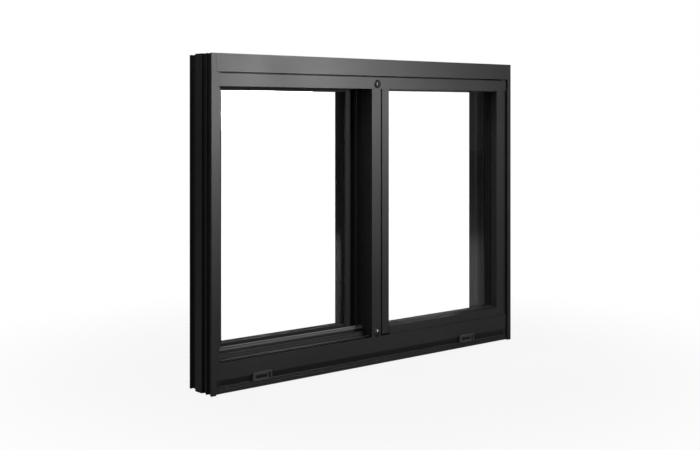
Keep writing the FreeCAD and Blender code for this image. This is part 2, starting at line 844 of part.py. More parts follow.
interlock_outline = [
    ("sash_right_sight", "sash_front - stile_lip_proud"),
    ("sash_right_sight + stile_lip", "sash_front - stile_lip_proud"),
    ("sash_right_sight + stile_lip", "sash_front"),
    (groove_left, "sash_front"),
    (groove_left, groove_floor),
    (f"{groove_left} + interlock_groove", groove_floor),
    (f"{groove_left} + interlock_groove", "sash_front"),
    ("sash_right", "sash_front"),
    ("sash_right", "sash_back"),
    ("sash_right_sight", "sash_back"),
    ("sash_right_sight", pocket_back),
    ("sash_right_sight + sash_bite", pocket_back),
    ("sash_right_sight + sash_bite", pocket_front),
    ("sash_right_sight", pocket_front),
]
interlock_hollow = box_corners(
    "sash_right_sight + sash_bite + sash_wall",
    f"{groove_floor} + sash_wall",
    "sash_right - sash_wall",
    "sash_back - sash_wall",
)
interlock = post("sash_interlock_stile", [interlock_outline, interlock_hollow], "sash_bottom", sash_top)
# Its room side lip reaches further over the glass between the rails, as a finger pull
pull_section = box_corners("sash_right_sight - stile_pull", pocket_back, "sash_right_sight", "sash_back")
pull_sketch = draw_on(interlock, "pull_section", "XY_Plane", [pull_section], "sash_foot_sight - sash_bottom")
pull = interlock.newObject("PartDesign::Pad", "pull_lip")
pull.Profile = pull_sketch
pull.setExpression("Length", tied("frame_height - sash_top_sight - sash_foot_sight"))
roller_ceiling = "sash_bottom + roller_room"
glass_floor = "sash_foot_sight - sash_bite"
bottom_rail_outline = [
    ("sash_front", "sash_bottom"),
    ("sash_front", "sash_foot_sight"),
    (pocket_front, "sash_foot_sight"),
    (pocket_front, glass_floor),
    (pocket_back, glass_floor),
    (pocket_back, "sash_foot_sight"),
    ("sash_back", "sash_foot_sight"),
    ("sash_back", "sash_bottom"),
    ("sash_back - sash_wall", "sash_bottom"),
    ("sash_back - sash_wall", roller_ceiling),
    ("sash_front + sash_wall", roller_ceiling),
    ("sash_front + sash_wall", "sash_bottom"),
]
bottom_rail_hollow = box_corners(
    "sash_front + sash_wall",
    f"{roller_ceiling} + sash_wall",
    "sash_back - sash_wall",
    f"{glass_floor} - sash_wall",
)
rail("sash_bottom_rail", [bottom_rail_outline, bottom_rail_hollow], "sash_left_sight", "sash_right_sight")
glass_ceiling = down("sash_top_sight - sash_bite")
top_rail_outline = [
    ("sash_front", down("sash_top_sight")),
    (pocket_front, down("sash_top_sight")),
    (pocket_front, glass_ceiling),
    (pocket_back, glass_ceiling),
    (pocket_back, down("sash_top_sight")),
    ("sash_back", down("sash_top_sight")),
    ("sash_back", sash_top),
    ("sash_front", sash_top),
]
top_rail_hollow = box_corners(
    "sash_front + sash_wall",
    f"{glass_ceiling} + sash_wall",
    "sash_back - sash_wall",
    f"{sash_top} - sash_wall",
)
rail("sash_top_rail", [top_rail_outline, top_rail_hollow], "sash_left_sight", "sash_right_sight")

# Insulating glass of the sash
sash_middle = "(sash_front + sash_back) / 2"
sash_glass = (
    "sash_left_sight - edge_cover",
    f"{glass_floor} + block_thickness",
    "sash_right_sight + edge_cover",
    down("sash_top_sight - edge_cover"),
)
sash_pane_front = f"{sash_middle} - cavity / 2 - pane"
sash_pane_middle = f"{sash_middle} - cavity / 2"
sash_pane_inner = f"{sash_middle} + cavity / 2"
sash_pane_back = f"{sash_middle} + cavity / 2 + pane"
plate("sash_outer_pane", [box_corners(*sash_glass)], sash_pane_front, sash_pane_middle)
plate("sash_inner_pane", [box_corners(*sash_glass)], sash_pane_inner, sash_pane_back)
plate("sash_spacer", ring(*sash_glass, "spacer_width"), sash_pane_middle, sash_pane_inner)
plate("sash_outer_seal", ring(*sash_glass, "spacer_width"), pocket_front, sash_pane_front)
plate("sash_inner_seal", ring(*sash_glass, "spacer_width"), sash_pane_back, pocket_back)
setting_blocks(
    "sash_setting_blocks",
    "sash_left_sight",
    "sash_right_sight",
    sash_pane_front,
    sash_pane_back,
    glass_floor,
    f"{glass_floor} + block_thickness",
)

# Rollers: a housing in the rail's channel, and a wheel that runs on the track rail
axle_level = "track_rib_top + joint_gap + roller_radius"
roller_places = (
    ("left", "sash_left_sight + roller_inset"),
    ("right", "sash_right_sight - roller_inset - housing_length"),
)
for side, start in roller_places:
    label = f"sash_roller_{side}"
    housing_outline = [
        (f"{sash_middle} - housing_width / 2", f"{roller_ceiling} - housing_height"),
        (f"{sash_middle} - housing_width / 2", roller_ceiling),
        (f"{sash_middle} + housing_width / 2", roller_ceiling),
        (f"{sash_middle} + housing_width / 2", f"{roller_ceiling} - housing_height"),
        (f"{sash_middle} + roller_width / 2 + joint_gap", f"{roller_ceiling} - housing_height"),
        (f"{sash_middle} + roller_width / 2 + joint_gap", f"{axle_level} + roller_radius + joint_gap"),
        (f"{sash_middle} - roller_width / 2 - joint_gap", f"{axle_level} + roller_radius + joint_gap"),
        (f"{sash_middle} - roller_width / 2 - joint_gap", f"{roller_ceiling} - housing_height"),
    ]
    rail(f"roller_housing_{side}", [housing_outline], start, f"{start} + housing_length")
    wheel = doc.addObject("Part::Cylinder", label + "_tread")
    wheel.setExpression("Radius", tied("roller_radius"))
    wheel.setExpression("Height", tied("roller_width"))
    wheel.Placement = FreeCAD.Placement(FreeCAD.Vector(), FreeCAD.Rotation(FreeCAD.Vector(1, 0, 0), -90))
    wheel.setExpression("Placement.Base.x", tied(f"({start}) + housing_length / 2 - {half_width}"))
    wheel.setExpression("Placement.Base.y", tied(f"{sash_middle} - roller_width / 2 - {half_depth}"))
    wheel.setExpression("Placement.Base.z", tied(axle_level))
    wheel.Label = label

# Pile strip carried on the back of the mullion's wing, brushing the sash
pile_left = "mullion_left - pile_inset"
pile_outline = box_corners(
    pile_left,
    mid_leg_back,
    f"{pile_left} + pile_width",
    "sash_front - joint_gap",
)
post("meeting_pile", [pile_outline], "mid_leg_top", down("band_foot"))

# Low sliding latch on the inner side of the sash's left stile
latch_left = f"({sash_left} + sash_left_sight - latch_width) / 2"
latch_outline = [
    (latch_left, "sash_back"),
    (f"{latch_left} + latch_width", "sash_back"),
    (f"{latch_left} + latch_width - latch_bevel", "sash_back + latch_thickness"),
    (f"{latch_left} + latch_bevel", "sash_back + latch_thickness"),
]
post("sash_latch", [latch_outline], "latch_level - latch_height / 2", "latch_level + latch_height / 2")


# Pan-head screws: a domed head on the face and a shank through the wall behind
def screw(label, level):
    body = doc.addObject("PartDesign::Body", label)
    body.Label = label
    sketch = draw_on(
        body,
        label + "_half_section",
        "XY_Plane",
        [
            [
                ("0", "0 - screw_dome"),
                ("screw_crown", "screw_crown_fall - screw_dome"),
                ("screw_shoulder", "0 - screw_shoulder_rise"),
                ("screw_head", "0"),
                ("screw_shank", "0"),
                ("screw_shank", "screw_length"),
                ("0", "screw_length"),
            ]
        ],
    )
    turned = body.newObject("PartDesign::Revolution", label + "_turned")
    turned.Profile = sketch
    turned.ReferenceAxis = (sketch, ["V_Axis"])
    turned.Angle = 360
    body.setExpression("Placement.Base.x", tied(f"mullion_left + screw_inset - {half_width}"))
    body.setExpression("Placement.Base.y", tied(f"face_setback - {half_depth}"))
    body.setExpression("Placement.Base.z", tied(level))
    return body


screw("mullion_screw_top", down("screw_top_drop"))
screw("mullion_screw_foot", "screw_foot")


# Clearance holes for the screws, with the shank's own size
def bore(body, name, across, up):
    sketch = body.newObject("Sketcher::SketchObject", name + "_circle")
    for feature in body.Origin.OriginFeatures:
        if feature.Role == "XZ_Plane":
            sketch.AttachmentSupport = [(feature, "")]
    sketch.MapMode = "FlatFace"
    centre = FreeCAD.Vector(number(across), number(up), 0)
    sketch.addGeometry(Part.Circle(centre, FreeCAD.Vector(0, 0, 1), number("screw_shank")), False)
    at = sketch.addConstraint(Sketcher.Constraint("Radius", 0, number("screw_shank + shank_clearance")))
    sketch.setExpression(f"Constraints[{at}]", tied("screw_shank + shank_clearance"))
    at = sketch.addConstraint(Sketcher.Constraint("DistanceX", 0, 3, centre.x))
    sketch.setExpression(f"Constraints[{at}]", tied(across))
    at = sketch.addConstraint(Sketcher.Constraint("DistanceY", 0, 3, centre.y))
    sketch.setExpression(f"Constraints[{at}]", tied(up))
    cut = body.newObject("PartDesign::Pocket", name)
    cut.Profile = sketch
    cut.Midplane = True
    cut.setExpression("Length", tied("(face_setback + screw_length + cut_over) * 2"))


bore(head, "screw_hole_head", f"mullion_left + screw_inset - ({inner_left})", down("screw_top_drop"))
bore(mullion, "screw_hole_mullion_top", "mullion_left + screw_inset", f"{down('screw_top_drop')} - ({mullion_foot})")
bore(mullion, "screw_hole_mullion_foot", "mullion_left + screw_inset", f"screw_foot - ({mullion_foot})")

doc.recompute()

# Each finished piece is written under its label
pieces = []
for item in doc.Objects:
    state = [word for word in item.State if word in ("Invalid", "Error")]
    if state:
        raise RuntimeError(f"{item.Name} is {state}")
    if item.TypeId == "PartDesign::Body" or item.TypeId in ("Part::Compound", "Part::Cylinder"):
        pieces.append(item)
os.makedirs("parts", exist_ok=True)
for piece in pieces:
    if piece.Shape.isNull() or not piece.Shape.isValid():
        raise RuntimeError(f"{piece.Label} has no sound shape")
    piece.Shape.exportStep(f"parts/{piece.Label}.step")
    print(piece.Label, round(piece.Shape.Volume, 1), len(piece.Shape.Solids))
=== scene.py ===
import math

import bmesh
import bpy
from mathutils import Matrix, Vector


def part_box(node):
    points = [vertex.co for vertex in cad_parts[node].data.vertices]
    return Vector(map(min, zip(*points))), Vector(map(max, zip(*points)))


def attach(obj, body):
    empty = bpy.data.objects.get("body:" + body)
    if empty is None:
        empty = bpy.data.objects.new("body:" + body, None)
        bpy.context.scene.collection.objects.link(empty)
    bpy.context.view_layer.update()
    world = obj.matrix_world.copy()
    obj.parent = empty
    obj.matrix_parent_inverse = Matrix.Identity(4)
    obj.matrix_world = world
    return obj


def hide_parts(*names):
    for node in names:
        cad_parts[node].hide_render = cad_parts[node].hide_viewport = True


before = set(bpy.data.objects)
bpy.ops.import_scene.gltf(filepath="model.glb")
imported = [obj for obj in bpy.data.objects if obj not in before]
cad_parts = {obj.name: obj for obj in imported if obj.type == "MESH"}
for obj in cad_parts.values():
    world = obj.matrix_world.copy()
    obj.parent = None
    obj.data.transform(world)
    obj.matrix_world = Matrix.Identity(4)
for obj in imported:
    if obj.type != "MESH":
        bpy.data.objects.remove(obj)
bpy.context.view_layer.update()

# Sill: a deep extruded face with a coved foot, a drip groove under it, a gutter and ribs
# behind it, and a track at the room side. Extruded aluminium, sawn to length, then coated
# satin black; its edges leave the die very slightly round.
die_radius = 0.0003
same_point = 0.00001


def placed(name, data):
    """A new object at the origin that carries the data, linked to the scene."""
    piece = bpy.data.objects.new(name, data)
    bpy.context.scene.collection.objects.link(piece)
    return piece


def bake_modifiers(piece):
    """Keeps what a piece's modifiers make of it as its own plain mesh."""
    bpy.context.view_layer.update()
    baked = bpy.data.meshes.new_from_object(
        piece.evaluated_get(bpy.context.evaluated_depsgraph_get())
    )
    piece.modifiers.clear()
    piece.data = baked


def softened(node, radius=die_radius):
    """A merged copy of a node's mesh with its sharp edges rounded, standing for the node."""
    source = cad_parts[node]
    mesh = source.data.copy()
    mesh.transform(source.matrix_world)
    work = bmesh.new()
    work.from_mesh(mesh)
    bmesh.ops.remove_doubles(work, verts=work.verts, dist=same_point)
    bmesh.ops.dissolve_limit(
        work,
        angle_limit=math.radians(0.5),
        verts=work.verts,
        edges=work.edges,
        use_dissolve_boundaries=False,
    )
    bmesh.ops.recalc_face_normals(work, faces=work.faces)
    work.to_mesh(mesh)
    work.free()
    mesh.materials.clear()
    mesh.name = node + "_coated"
    piece = placed(node + "_coated", mesh)
    bevel = piece.modifiers.new("die_radius", "BEVEL")
    bevel.width = radius
    bevel.segments = 2
    bevel.limit_method = "ANGLE"
    bevel.angle_limit = math.radians(30)
    bevel.harden_normals = True
    bake_modifiers(piece)
    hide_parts(node)
    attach(piece, "root")
    return piece


def wired(tree, kind, inputs, **settings):
    """A new node; each input takes a plain value or the output of another node."""
    node = tree.nodes.new(kind)
    for setting, value in settings.items():
        setattr(node, setting, value)
    for label, value in inputs.items():
        if isinstance(value, bpy.types.NodeSocket):
            tree.links.new(value, node.inputs[label])
        else:
            node.inputs[label].default_value = value
    return node


def new_group(name, inputs, outputs):
    """An empty shader node group with named sockets; returns its tree and its two ends."""
    tree = bpy.data.node_groups.new(name, "ShaderNodeTree")
    for label, kind, value in inputs:
        socket = tree.interface.new_socket(label, in_out="INPUT", socket_type=kind)
        socket.default_value = value
    for label, kind in outputs:
        tree.interface.new_socket(label, in_out="OUTPUT", socket_type=kind)
    return tree, tree.nodes.new("NodeGroupInput").outputs, tree.nodes.new("NodeGroupOutput").inputs


def object_place(tree):
    return tree.nodes.new("ShaderNodeTexCoord").outputs["Object"]


def noise(tree, place, scale, detail):
    inputs = {"Vector": place, "Scale": scale, "Detail": detail}
    return wired(tree, "ShaderNodeTexNoise", inputs).outputs["Fac"]


def math_node(tree, operation, first, second=0.0):
    return wired(tree, "ShaderNodeMath", {0: first, 1: second}, operation=operation).outputs["Value"]


def from_noise(tree, value, low, high):
    """Turns a noise, which mostly lies between 0.3 and 0.7, into a range of its own."""
    inputs = {"Value": value, "From Min": 0.3, "From Max": 0.7, "To Min": low, "To Max": high}
    return wired(tree, "ShaderNodeMapRange", inputs).outputs["Result"]


def color_mix(tree, factor, first, second):
    inputs = {"Factor": factor, "A": first, "B": second}
    return wired(tree, "ShaderNodeMix", inputs, data_type="RGBA").outputs["Result"]


# The coat's small relief: powder grain, die lines that run with the extrusion, and the
# faint handling marks that change its gloss and colour from place to place.
coat_tree, coat_in, coat_out = new_group(
    "coat_detail",
    [
        ("Coat", "NodeSocketColor", (0.02, 0.02, 0.02, 1)),
        ("Dust", "NodeSocketColor", (0.05, 0.05, 0.05, 1)),
        ("Dust amount", "NodeSocketFloat", 0.35),
        ("Roughness", "NodeSocketFloat", 0.4),
        ("Roughness range", "NodeSocketFloat", 0.1),
        ("Grain scale", "NodeSocketFloat", 1800.0),
        ("Die lines", "NodeSocketVector", (1.0, 1.0, 1.0)),
        ("Handling scale", "NodeSocketFloat", 9.0),
    ],
    [("Color", "NodeSocketColor"), ("Roughness", "NodeSocketFloat"), ("Height", "NodeSocketFloat")],
)
place = object_place(coat_tree)
grain = noise(coat_tree, place, coat_in["Grain scale"], 2)
drawn_out = wired(
    coat_tree, "ShaderNodeVectorMath", {0: place, 1: coat_in["Die lines"]}, operation="MULTIPLY"
)
die_lines = noise(coat_tree, drawn_out.outputs["Vector"], 1, 3)
handling = noise(coat_tree, place, coat_in["Handling scale"], 5)
dusted = from_noise(coat_tree, handling, 0, coat_in["Dust amount"])
gloss_change = math_node(
    coat_tree,
    "MULTIPLY",
    math_node(coat_tree, "SUBTRACT", handling, 0.5),
    coat_in["Roughness range"],
)
relief = math_node(
    coat_tree,
    "ADD",
    math_node(coat_tree, "MULTIPLY", grain, 0.6),
    math_node(coat_tree, "MULTIPLY", die_lines, 0.4),
)
for label, value in (
    ("Color", color_mix(coat_tree, dusted, coat_in["Coat"], coat_in["Dust"])),
    ("Roughness", math_node(coat_tree, "ADD", coat_in["Roughness"], gloss_change)),
    ("Height", relief),
):
    coat_tree.links.new(value, coat_out[label])


def new_material(name, **constants):
    """A material with its own Principled shader; constants go on the shader's sockets."""
    material = bpy.data.materials.new(name)
    material.use_nodes = True
    surface = material.node_tree.nodes["Principled BSDF"]
    for label, value in constants.items():
        surface.inputs[label.replace("_", " ")].default_value = value
    return material, material.node_tree, surface


def coated(name, coat, dust, roughness, gloss_range, grain, lines, relief, specular=0.25):
    """A material whose colour, gloss and relief come from the coat group."""
    material, tree, surface = new_material(name, Specular_IOR_Level=specular)
    detail = tree.nodes.new("ShaderNodeGroup")
    detail.node_tree = coat_tree
    for label, value in (
        ("Coat", (*coat, 1)),
        ("Dust", (*dust, 1)),
        ("Roughness", roughness),
        ("Roughness range", gloss_range),
        ("Grain scale", grain),
        ("Die lines", lines),
    ):
        detail.inputs[label].default_value = value
    bump = wired(
        tree,
        "ShaderNodeBump",
        {"Strength": 0.25, "Distance": relief, "Height": detail.outputs["Height"]},
    )
    tree.links.new(detail.outputs["Color"], surface.inputs["Base Color"])
    tree.links.new(detail.outputs["Roughness"], surface.inputs["Roughness"])
    tree.links.new(bump.outputs["Normal"], surface.inputs["Normal"])
    return material


along_x = (8, 1400, 1400)
along_z = (1400, 1400, 8)
satin_black = {
    "coat": (0.0055, 0.0055, 0.0057),
    "dust": (0.0085, 0.0085, 0.0087),
    "roughness": 0.38,
    "gloss_range": 0.10,
    "grain": 1700,
    "relief": 0.00006,
}
rail_coat = coated("satin_black_rails", lines=along_x, **satin_black)
post_coat = coated("satin_black_posts", lines=along_z, **satin_black)

# Painted highlight: the upstand in front of the sash is painted a lighter grey in two bands.
sheen_band_tree, sheen_band_in, sheen_band_out = new_group(
    "painted_sheen_bands",
    [
        ("Coat", "NodeSocketColor", (0.02, 0.02, 0.02, 1)),
        ("Painted sheen", "NodeSocketColor", (0.05, 0.05, 0.05, 1)),
        ("Upstand face", "NodeSocketFloat", 0.0),
        ("Face reach", "NodeSocketFloat", 0.0012),
        ("Band foot", "NodeSocketFloat", 0.067),
        ("Band top", "NodeSocketFloat", 0.075),
        ("Waves", "NodeSocketFloat", 1380.0),
    ],
    [("Color", "NodeSocketColor")],
)
spot = wired(sheen_band_tree, "ShaderNodeSeparateXYZ", {"Vector": object_place(sheen_band_tree)}).outputs
in_band = math_node(
    sheen_band_tree,
    "MULTIPLY",
    math_node(sheen_band_tree, "GREATER_THAN", spot["Z"], sheen_band_in["Band foot"]),
    math_node(sheen_band_tree, "LESS_THAN", spot["Z"], sheen_band_in["Band top"]),
)
off_face = math_node(
    sheen_band_tree, "ABSOLUTE", math_node(sheen_band_tree, "SUBTRACT", spot["Y"], sheen_band_in["Upstand face"])
)
at_face = math_node(sheen_band_tree, "LESS_THAN", off_face, sheen_band_in["Face reach"])
# The ripple paints darker shade lines across the bands of painted highlight.
ripple = math_node(
    sheen_band_tree, "SINE", math_node(sheen_band_tree, "MULTIPLY", spot["Z"], sheen_band_in["Waves"])
)
stripes = math_node(sheen_band_tree, "ADD", 0.6, math_node(sheen_band_tree, "MULTIPLY", ripple, 0.4))
painted_sheen_mask = math_node(
    sheen_band_tree, "MULTIPLY", math_node(sheen_band_tree, "MULTIPLY", in_band, at_face), stripes
)
sheen_band_tree.links.new(
    color_mix(sheen_band_tree, painted_sheen_mask, sheen_band_in["Coat"], sheen_band_in["Painted sheen"]), sheen_band_out["Color"]
)

# The sill's coat takes the painted highlight bands on its upstand.
sill_coat = coated("satin_black_sill", lines=along_x, **satin_black)
sill_color = sill_coat.node_tree.nodes["Principled BSDF"].inputs["Base Color"]
sheen_painter = sill_coat.node_tree.nodes.new("ShaderNodeGroup")
sheen_painter.node_tree = sheen_band_tree
# Colour of the painted highlight on the upstand.
sheen_painter.inputs["Painted sheen"].default_value = (0.09, 0.09, 0.09, 1)
sheen_painter.inputs["Band top"].default_value = 0.076
sill_coat.node_tree.links.new(sill_color.links[0].from_socket, sheen_painter.inputs["Coat"])
sill_coat.node_tree.links.new(sheen_painter.outputs["Color"], sill_color)


def finished(piece, material):
    """Gives a piece its one material."""
    piece.data.materials.clear()
    piece.data.materials.append(material)


def block(name, low, high):
    """A plain closed box between two corners."""
    corners = [
        (x, y, z) for x in (low[0], high[0]) for y in (low[1], high[1]) for z in (low[2], high[2])
    ]
    faces = [(0, 1, 3, 2), (4, 6, 7, 5), (0, 4, 5, 1), (2, 3, 7, 6), (0, 2, 6, 4), (1, 5, 7, 3)]
    mesh = bpy.data.meshes.new(name)
    mesh.from_pydata(corners, [], faces)
    return placed(name, mesh)


def cut_away(piece, tool):
    """Takes the tool's shape out of the piece, then throws the tool away."""
    cut = piece.modifiers.new("cut", "BOOLEAN")
    cut.operation = "DIFFERENCE"
    cut.solver = "EXACT"
    cut.object = tool
    bake_modifiers(piece)
    bpy.data.objects.remove(tool)


# A narrow slot runs along the sill, just under its outer rib.
low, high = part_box("frame_sill")
slot_end = 0.0120
slot_front, slot_back = low[1] + 0.0020, low[1] + 0.0135
slot_foot, slot_top = high[2] - 0.0208, high[2] - 0.0179
sill_piece = softened("frame_sill")
cut_away(
    sill_piece,
    block(
        "slot_tool",
        (low[0] + slot_end, slot_front, slot_foot),
        (high[0] - slot_end, slot_back, slot_top),
    ),
)
finished(sill_piece, sill_coat)

# Track rail: a bare drawn aluminium strip that the rollers run on, pressed into the sill.
# The rollers polish its top.
bare_metal = coated(
    "bare_track_metal",
    coat=(0.42, 0.42, 0.43),
    dust=(0.30, 0.30, 0.30),
    roughness=0.34,
    gloss_range=0.25,
    grain=900,
    lines=along_x,
    relief=0.00005,
)
bare_metal.node_tree.nodes["Principled BSDF"].inputs["Metallic"].default_value = 1
finished(softened("sill_track", 0.0002), bare_metal)

# Weep covers: two moulded hoods clipped over the drain slots, with a raised rim round an open
# mouth. Black nylon, lighter than the frame; a thin near-black sheet in each mouth is painted shade.
weep_nylon = coated(
    "weep_cover_nylon",
    coat=(0.022, 0.022, 0.0223),
    dust=(0.030, 0.030, 0.030),
    roughness=0.42,
    gloss_range=0.12,
    grain=2600,
    lines=(300, 300, 300),
    relief=0.00004,
)
mouth_shade_black = coated(
    "weep_mouth_painted_shade",
    coat=(0.004, 0.004, 0.0042),
    dust=(0.007, 0.007, 0.007),
    roughness=0.75,
    gloss_range=0.1,
    grain=1600,
    lines=(500, 500, 500),
    relief=0.00006,
    specular=0.08,
)
moulded_radius = 0.0004
rim_side, rim_foot, rim_top = 0.0038, 0.0020, 0.0036
shade_set_back = 0.0036
shade_thickness = 0.0004
for node in ("weep_cover_left", "weep_cover_right"):
    finished(softened(node, moulded_radius), weep_nylon)
    low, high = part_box(node)
    shade_front = low[1] + shade_set_back
    # A near-black sheet set across the mouth: painted shade for the dark inside of the hood.
    mouth_shade = block(
        node + "_mouth_shade",
        (low[0] + rim_side, shade_front, low[2] + rim_foot),
        (high[0] - rim_side, shade_front + shade_thickness, high[2] - rim_top),
    )
    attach(mouth_shade, "root")
    finished(mouth_shade, mouth_shade_black)

# Jambs: one hollow extrusion, turned over for the right side. Its outer side has a channel
# with a rib for the fixing clips and a groove for the sealant.
for node in ("frame_left_jamb", "frame_right_jamb"):
    finished(softened(node), post_coat)

# Head: an extrusion with a front band flush with the jambs, a set-back band below it, and
# between them a slot that opens into the hollow, where a flashing hooks in.
low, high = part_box("frame_head")
slot_end = 0.0125
slot_front, slot_back = low[1] + 0.0045, low[1] + 0.0085
slot_foot, slot_top = high[2] - 0.0344, high[2] - 0.0322
head_piece = softened("frame_head")
cut_away(
    head_piece,
    block(
        "slot_tool",
        (low[0] + slot_end, slot_front, slot_foot),
        (high[0] - slot_end, slot_back, slot_top),
    ),
)
finished(head_piece, rail_coat)

# Meeting mullion: a hollow extrusion with a bead snapped into its right side, coped over
# the sill and screwed to the head and sill.
for node in ("meeting_mullion", "mullion_bead"):
    finished(softened(node), post_coat)

# Screws: pan heads with a cross recess, one near each end of the mullion. Cold-headed
# steel, blackened; the dome is turned here and the recess cut into it.
screw_steel = coated(
    "blackened_screw_steel",
    coat=(0.006, 0.006, 0.0062),
    dust=(0.010, 0.010, 0.010),
    roughness=0.33,
    gloss_range=0.08,
    grain=3000,
    lines=(400, 400, 400),
    relief=0.00003,
    specular=0.55,
)


def cross_recess(depth, reach, half_wall, taper):
    """A tapered plus-shaped plug, cut out of a screw head to leave its recess."""
    work = bmesh.new()
    ring = []
    for turn in range(4):
        swing = Matrix.Rotation(turn * math.pi / 2, 3, "Y")
        for across, up in ((half_wall, half_wall), (reach, half_wall), (reach, -half_wall)):
            ring.append(swing @ Vector((across, 0, up)))
    top = [work.verts.new(spot) for spot in ring]
    foot = [work.verts.new(spot * taper + Vector((0, depth, 0))) for spot in ring]
    work.faces.new(top)
    work.faces.new(foot[::-1])
    count = len(ring)
    for index in range(count):
        after = (index + 1) % count
        work.faces.new((top[index], foot[index], foot[after], top[after]))
    bmesh.ops.recalc_face_normals(work, faces=work.faces)
    mesh = bpy.data.meshes.new("recess_plug")
    work.to_mesh(mesh)
    work.free()
    return mesh


mullion_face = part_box("meeting_mullion")[0][1]
dome_angle = math.radians(78)
dome_steps = 8
rim_height = 0.0006
shank_radius = 0.0024
for node in ("mullion_screw_top", "mullion_screw_foot"):
    low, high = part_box(node)
    middle = Vector(((low[0] + high[0]) / 2, 0, (low[2] + high[2]) / 2))
    head_radius = (high[0] - low[0]) / 2
    rim = mullion_face - rim_height
    profile = [(0.0, low[1])]
    for step in range(1, dome_steps + 1):
        angle = step / dome_steps * dome_angle
        rise = (math.cos(angle) - math.cos(dome_angle)) / (1 - math.cos(dome_angle))
        profile.append(
            (head_radius * math.sin(angle) / math.sin(dome_angle), rim + (low[1] - rim) * rise)
        )
    profile += [(head_radius, mullion_face), (shank_radius, mullion_face)]
    profile += [(shank_radius, high[1]), (0.0, high[1])]
    work = bmesh.new()
    chain = [work.verts.new((across, along, 0)) for across, along in profile]
    edges = [work.edges.new(pair) for pair in zip(chain, chain[1:])]
    bmesh.ops.spin(
        work,
        geom=chain + edges,
        cent=(0, 0, 0),
        axis=(0, 1, 0),
        angle=math.radians(360),
        steps=40,
        use_merge=True,
    )
    bmesh.ops.remove_doubles(work, verts=work.verts, dist=same_point)
    bmesh.ops.recalc_face_normals(work, faces=work.faces)
    mesh = bpy.data.meshes.new(node + "_turned")
    work.to_mesh(mesh)
    work.free()
    screw = placed(node + "_turned", mesh)
    plug = placed("recess_plug", cross_recess(0.0034, 0.0036, 0.0010, 0.45))
    plug.location = (0, low[1] - 0.0005, 0)
    cut_away(screw, plug)
    screw.data.transform(Matrix.Translation(middle))
    for polygon in screw.data.polygons:
        polygon.use_smooth = True
    screw.data.set_sharp_from_angle(angle=math.radians(35))
    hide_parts(node)
    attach(screw, "root")
    finished(screw, screw_steel)

# Fixed lite: extruded beads snapped round an insulating glass unit. The bottom bead slopes
# outward to shed water, and the right one is stepped.
for node in ("fixed_bottom_bead", "fixed_top_bead"):
    finished(softened(node), rail_coat)
finished(softened("fixed_right_bead"), post_coat)

# Glass: clear float panes, a pair to each unit, with a very faint waviness from the float
# bath and a film of dust toward the edges. Light passes straight through to what is behind.
clear_glass, glass_tree, glass_surface = new_material(
    "clear_float_glass", Base_Color=(1, 1, 1, 1), Transmission_Weight=1, IOR=1.45
)
glass_place = object_place(glass_tree)
float_wave = noise(glass_tree, glass_place, 7, 1)
glass_bump = wired(
    glass_tree, "ShaderNodeBump", {"Strength": 0.01, "Distance": 0.0005, "Height": float_wave}
)
film = from_noise(glass_tree, noise(glass_tree, glass_place, 30, 4), 0.0, 0.006)
glass_tree.links.new(glass_bump.outputs["Normal"], glass_surface.inputs["Normal"])
glass_tree.links.new(film, glass_surface.inputs["Roughness"])
glass_path = glass_tree.nodes.new("ShaderNodeLightPath").outputs
lets_light_by = math_node(
    glass_tree, "MAXIMUM", glass_path["Is Shadow Ray"], glass_path["Is Diffuse Ray"]
)
see_through = glass_tree.nodes.new("ShaderNodeBsdfTransparent")
glass_mix = wired(
    glass_tree,
    "ShaderNodeMixShader",
    {
        "Fac": lets_light_by,
        1: glass_surface.outputs["BSDF"],
        2: see_through.outputs["BSDF"],
    },
)
glass_tree.links.new(
    glass_mix.outputs["Shader"], glass_tree.nodes["Material Output"].inputs["Surface"]
)
ground_off = 0.00003
for node in ("fixed_outer_pane", "fixed_inner_pane", "sash_outer_pane", "sash_inner_pane"):
    low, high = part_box(node)
    pane = block(
        node + "_float",
        [value + ground_off for value in low],
        [value - ground_off for value in high],
    )
    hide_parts(node)
    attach(pane, "root")
    finished(pane, clear_glass)

# Spacers, seals and setting blocks: a black anodised spacer bar, with a row of slots shown as very
# dark blocks, painted shade for its perforations, holds each pair of panes apart, rubber seals grip
# the unit, and rubber blocks carry it.
spacer_metal = coated(
    "black_spacer_bar",
    coat=(0.008, 0.008, 0.0082),
    dust=(0.012, 0.012, 0.012),
    roughness=0.7,
    gloss_range=0.1,
    grain=2200,
    lines=(60, 60, 60),
    relief=0.00004,
    specular=0.04,
)
seal_rubber = coated(
    "seal_rubber",
    coat=(0.006, 0.006, 0.0062),
    dust=(0.012, 0.012, 0.012),
    roughness=0.7,
    gloss_range=0.1,
    grain=1300,
    lines=(500, 500, 500),
    relief=0.00008,
    specular=0.1,
)
# Near-black for the slots: painted shade for the inside of the perforations.
perforation_shade = coated(
    "spacer_perforation_shade",
    coat=(0.004, 0.004, 0.004),
    dust=(0.006, 0.006, 0.006),
    roughness=0.8,
    gloss_range=0.1,
    grain=2000,
    lines=(300, 300, 300),
    relief=0.00003,
    specular=0.1,
)


def grower(name, inputs):
    """A geometry node group with named number inputs; returns its tree and its two ends."""
    tree = bpy.data.node_groups.new(name, "GeometryNodeTree")
    tree.interface.new_socket("Geometry", in_out="INPUT", socket_type="NodeSocketGeometry")
    tree.interface.new_socket("Geometry", in_out="OUTPUT", socket_type="NodeSocketGeometry")
    for label, kind in inputs:
        tree.interface.new_socket(label, in_out="INPUT", socket_type=kind)
    return tree, tree.nodes.new("NodeGroupInput").outputs, tree.nodes.new("NodeGroupOutput").inputs


def ended(tree, instances, material, end):
    """Makes a tree's instances real, gives them their material and puts them out."""
    real = wired(tree, "GeometryNodeRealizeInstances", {"Geometry": instances})
    painted = wired(
        tree,
        "GeometryNodeSetMaterial",
        {"Geometry": real.outputs["Geometry"], "Material": material},
    )
    tree.links.new(painted.outputs["Geometry"], end["Geometry"])


